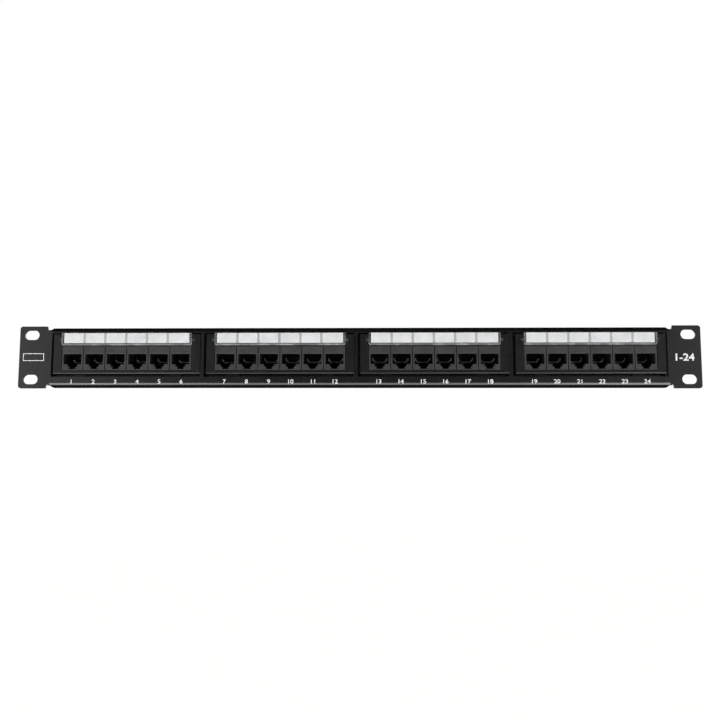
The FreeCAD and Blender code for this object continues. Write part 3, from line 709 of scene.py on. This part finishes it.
def solder_joints(number):
    """Small domes of solder where the contact leads come through the board: rings of eight points
    whose radius shrinks as a quarter circle from the board to the tip."""
    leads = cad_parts[f"contact_leads_{number}"].data
    x = np.unique(np.round(read(leads.vertices, "co", 3)[:, 0] / MM, 2))
    starts = x[np.concatenate([[True], np.diff(x) > LEAD_GAP])]
    centres = (starts + LEAD_HALF_WIDTH) * MM
    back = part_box(f"circuit_board_{number}")[1][1]
    angle = np.linspace(0, 2 * math.pi, JOINT_SIDES, endpoint=False)
    radius = JOINT_RADIUS * MM * np.cos(JOINT_RISE)
    depth = back + JOINT_HEIGHT * MM * np.sin(JOINT_RISE)
    ring = np.stack(
        [
            radius[:, None] * np.cos(angle)[None, :],
            np.repeat(depth[:, None], JOINT_SIDES, axis=1),
            JOINT_Z * MM + radius[:, None] * np.sin(angle)[None, :],
        ],
        axis=-1,
    )
    all_points = ring[None] + np.array([1, 0, 0]) * centres[:, None, None, None]
    joint_points = len(JOINT_RISE) * JOINT_SIDES
    first = joint_points * np.arange(len(centres))[:, None]
    index = np.arange(joint_points).reshape(-1, JOINT_SIDES)
    turned = np.roll(index, -1, axis=1)
    quads = np.stack([index[:-1], index[1:], turned[1:], turned[:-1]], axis=-1).reshape(-1, 4)
    faces = quads[None] + first[:, :, None]
    caps = index[-1][::-1][None] + first
    floors = index[0][None] + first
    mesh = bpy.data.meshes.new(f"solder_joints_{number}")
    mesh.from_pydata(
        all_points.reshape(-1, 3).tolist(),
        [],
        faces.reshape(-1, 4).tolist() + caps.tolist() + floors.tolist(),
    )
    face_outwards(mesh)
    mesh.polygons.foreach_set("use_smooth", np.ones(len(mesh.polygons), dtype=bool))
    return add_piece(f"solder_joints_{number}", mesh, SOLDER)


PAIR_COLOURS = np.array([(0.05, 0.12, 0.5), (0.75, 0.22, 0.02), (0.03, 0.3, 0.07), (0.2, 0.08, 0.03)])
GUIDE_HALF_HEIGHT = 2.7
CARD_THICKNESS = 0.25
TERMINALS = 24
TERMINAL_PITCH = 3.865
CELL_HALF_WIDTH = 1.6
CELL_NEAR_MIDDLE = 0.35
CELL_NEAR_ROW = 2.35
STRIPE_WHITE = (0.85, 0.85, 0.85)
SIDES_OF_A_BOX = 6


def wiring_guide(number):
    """A printed card between the two terminal rows: for each terminal a cell in its wire's colour,
    half white where the wire is striped, above the middle for one row and below it for the other."""
    low, high = (np.array(corner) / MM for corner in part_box(f"circuit_board_{number}"))
    middle = (low[0] + high[0]) / 2
    block_low, block_high = (np.array(corner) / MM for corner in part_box(f"idc_blocks_{number}"))
    back = high[1]
    half_width = (block_high[0] - block_low[0]) / 2
    centres = middle + TERMINAL_PITCH * (np.arange(TERMINALS) - (TERMINALS - 1) / 2)
    card = [(middle - half_width, -GUIDE_HALF_HEIGHT, middle + half_width, GUIDE_HALF_HEIGHT)]
    printed_bars(
        f"wiring_card_{number}", card, back * MM, LABEL_CARD, thick=CARD_THICKNESS, backwards=True
    )
    bars = []
    inks = []
    for row in (1, -1):
        bottom, top = sorted((row * CELL_NEAR_MIDDLE, row * CELL_NEAR_ROW))
        half = (bottom + top) / 2
        for place, centre in enumerate(centres):
            left = centre - CELL_HALF_WIDTH
            right = centre + CELL_HALF_WIDTH
            colour = tuple(PAIR_COLOURS[(place // 2) % len(PAIR_COLOURS)])
            if place % 2 == 0:
                bars += [(left, bottom, right, half), (left, half, right, top)]
                inks += [STRIPE_WHITE, colour]
            else:
                bars.append((left, bottom, right, top))
                inks.append(colour)
    cells = printed_bars(
        f"wiring_cells_{number}", bars, (back + CARD_THICKNESS) * MM, WIRING_INK, backwards=True
    )
    ink = cells.data.attributes.new("ink", "FLOAT_COLOR", "FACE")
    colours = np.concatenate([np.array(inks), np.ones((len(inks), 1))], axis=1)
    ink.data.foreach_set("color", np.repeat(colours, SIDES_OF_A_BOX, axis=0).astype(np.float32).ravel())


for number in MODULES:
    solder_joints(number)
    wiring_guide(number)


# ---- grip ribs on the covers' ends ----------------------------------------------------------

RIBS = 5
RIB_INSET = 2.1
RIB_INNER = 0.15
RIB_OUTER = 0.35
RIB_HALF_HEIGHT = 0.3
RIB_DEPTHS = (0.25, 1.6)
RIB_MARGINS = (1.5, 0.9)


def cover_ribs(number):
    """Five small rungs on each end wall of a cover, to grip it by when it is pulled off."""
    low, high = (np.array(corner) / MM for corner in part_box(f"label_cover_{number}"))
    low_x, high_x = low[0] + RIB_INSET, high[0] - RIB_INSET
    heights = np.linspace(low[2] + RIB_MARGINS[0], high[2] - RIB_MARGINS[1], RIBS)
    low_points, high_points = [], []
    for left, right in (
        (low_x - RIB_OUTER, low_x + RIB_INNER),
        (high_x - RIB_INNER, high_x + RIB_OUTER),
    ):
        for height in heights:
            low_points.append((left, low[1] + RIB_DEPTHS[0], height - RIB_HALF_HEIGHT))
            high_points.append((right, low[1] + RIB_DEPTHS[1], height + RIB_HALF_HEIGHT))
    mesh = many_boxes(f"cover_ribs_{number}", np.array(low_points) * MM, np.array(high_points) * MM)
    # the rungs take the rim's painted highlight
    add_piece(f"cover_ribs_{number}", mesh, CLEAR_EDGE_PAINTED_HIGHLIGHT, f"cover_{number}")


for number in MODULES:
    cover_ribs(number)


# ---- stage, light and camera ----------------------------------------------------------------

CAMERA_PLACE = (18.5, -641.2, -81.1)
CAMERA_AIM = (2.07, -1.5, -2.18)
CAMERA_ROLL = 0.0022
CAMERA_LENS = 45.61
SENSOR_WIDTH = 36.0
FLOOR_TOP = -0.35
FLOOR_THICKNESS = 0.01
FLOOR_HALF_WIDTH = 6
FLOOR_GLOW = (0.96, 0.96, 0.955, 1)

camera_data = bpy.data.cameras.new("camera")
camera_data.lens = CAMERA_LENS
camera_data.sensor_width = SENSOR_WIDTH
camera = bpy.data.objects.new("camera", camera_data)
camera.location = Vector(CAMERA_PLACE) * MM
aim = Vector(CAMERA_AIM) * MM
camera.rotation_euler = (aim - camera.location).to_track_quat("-Z", "Y").to_euler()
camera.rotation_euler.rotate_axis("Z", CAMERA_ROLL)
bpy.context.scene.collection.objects.link(camera)
bpy.context.scene.camera = camera


def make_floor_paper():
    """The floor's finish: pale to the camera, dark to the object, so that it lights nothing."""
    material = finish(
        "floor_paper", grey(0.004), grey(0.005), grey(0.005), (0.8, 0.9), 3.0, 0.01, edge=(0.1, 0.0)
    )
    tree = material.node_tree
    shader = tree.nodes["Principled BSDF"]
    shader.inputs["Emission Color"].default_value = FLOOR_GLOW
    seen = node(tree, "ShaderNodeLightPath").outputs["Is Camera Ray"]
    tree.links.new(seen, shader.inputs["Emission Strength"])
    return material


floor_mesh = many_boxes(
    "floor",
    [[-FLOOR_HALF_WIDTH, -FLOOR_HALF_WIDTH, FLOOR_TOP - FLOOR_THICKNESS]],
    [[FLOOR_HALF_WIDTH, FLOOR_HALF_WIDTH, FLOOR_TOP]],
)
floor_mesh.materials.append(make_floor_paper())
floor = bpy.data.objects.new("floor", floor_mesh)
bpy.context.scene.collection.objects.link(floor)

SIDE_GLOW = (0.25, 0.6, 2.3)
REAR_GLOW = (0.1, 0.7, 1.0)
CEILING_SHADE = (0.1, 0.45, 1.0)
ROOM_LEVEL = 0.02

world = bpy.data.worlds.new("studio")
world.use_nodes = True
bpy.context.scene.world = world


def light_the_room(tree):
    """A dim room: dark before the panel and above it, brighter to the sides and behind it, with
    a plain white backdrop for the camera alone. Each glow is (start, end, brightness)."""
    backdrop = tree.nodes["Background"]
    backdrop.inputs["Color"].default_value = (1, 1, 1, 1)
    way = node(tree, "ShaderNodeTexCoord").outputs["Generated"]
    parts = node(tree, "ShaderNodeSeparateXYZ", links={"Vector": way})
    aside = math_node(tree, "ABSOLUTE", parts.outputs["X"])

    def ramp(source, low, high, level):
        """A smooth rise from nothing at low to level at high."""
        made = node(
            tree, "ShaderNodeMapRange", interpolation_type="SMOOTHSTEP", links={"Value": source}
        )
        made.inputs["From Min"].default_value = low
        made.inputs["From Max"].default_value = high
        made.inputs["To Max"].default_value = level
        return made.outputs["Result"]

    sides = ramp(aside, *SIDE_GLOW)
    behind = ramp(parts.outputs["Y"], *REAR_GLOW)
    low_down = math_node(tree, "SUBTRACT", 1.0, ramp(parts.outputs["Z"], *CEILING_SHADE))
    glow = math_node(tree, "MULTIPLY", math_node(tree, "ADD", sides, behind), low_down)
    glow = math_node(tree, "ADD", glow, ROOM_LEVEL)
    room = node(tree, "ShaderNodeBackground", links={"Strength": glow})
    room.inputs["Color"].default_value = (1, 1, 1, 1)
    seen = node(tree, "ShaderNodeLightPath").outputs["Is Camera Ray"]
    shaders = {0: seen, 1: room.outputs["Background"], 2: backdrop.outputs["Background"]}
    both = node(tree, "ShaderNodeMixShader", links=shaders)
    tree.links.new(both.outputs["Shader"], tree.nodes["World Output"].inputs["Surface"])


def soft_light(name, place, towards, size, radiance):
    """A rectangular soft light, its strength given as the brightness of its face."""
    data = bpy.data.lights.new(name, "AREA")
    data.shape = "RECTANGLE"
    data.size, data.size_y = size
    data.energy = radiance * math.pi * size[0] * size[1]
    lamp = bpy.data.objects.new(name, data)
    lamp.location = place
    way = Vector(towards) - Vector(place)
    lamp.rotation_euler = way.to_track_quat("-Z", "Y").to_euler()
    lamp.visible_camera = False
    bpy.context.scene.collection.objects.link(lamp)


LOW_CARDS = (("left", -0.47, 0.44, 5.5), ("middle", 0, 0.5, 3.0), ("right", 0.47, 0.44, 5.0))
LOW_CARD_Y = -0.66
LOW_CARD_Z = -0.335
LOW_CARD_DEPTH = 0.84
REAR_PLACE = (0, 1.2, 0.62)
REAR_SIZE = (1.8, 0.5)
REAR_RADIANCE = 2.2

light_the_room(world.node_tree)
for side, x, wide, radiance in LOW_CARDS:
    place = (x, LOW_CARD_Y, LOW_CARD_Z)
    above = (x, LOW_CARD_Y, 0)
    soft_light(f"low_card_{side}", place, above, (wide, LOW_CARD_DEPTH), radiance)
soft_light("rear_softbox", REAR_PLACE, (0, 0, 0), REAR_SIZE, REAR_RADIANCE)
bpy.context.scene.view_settings.view_transform = "Standard"
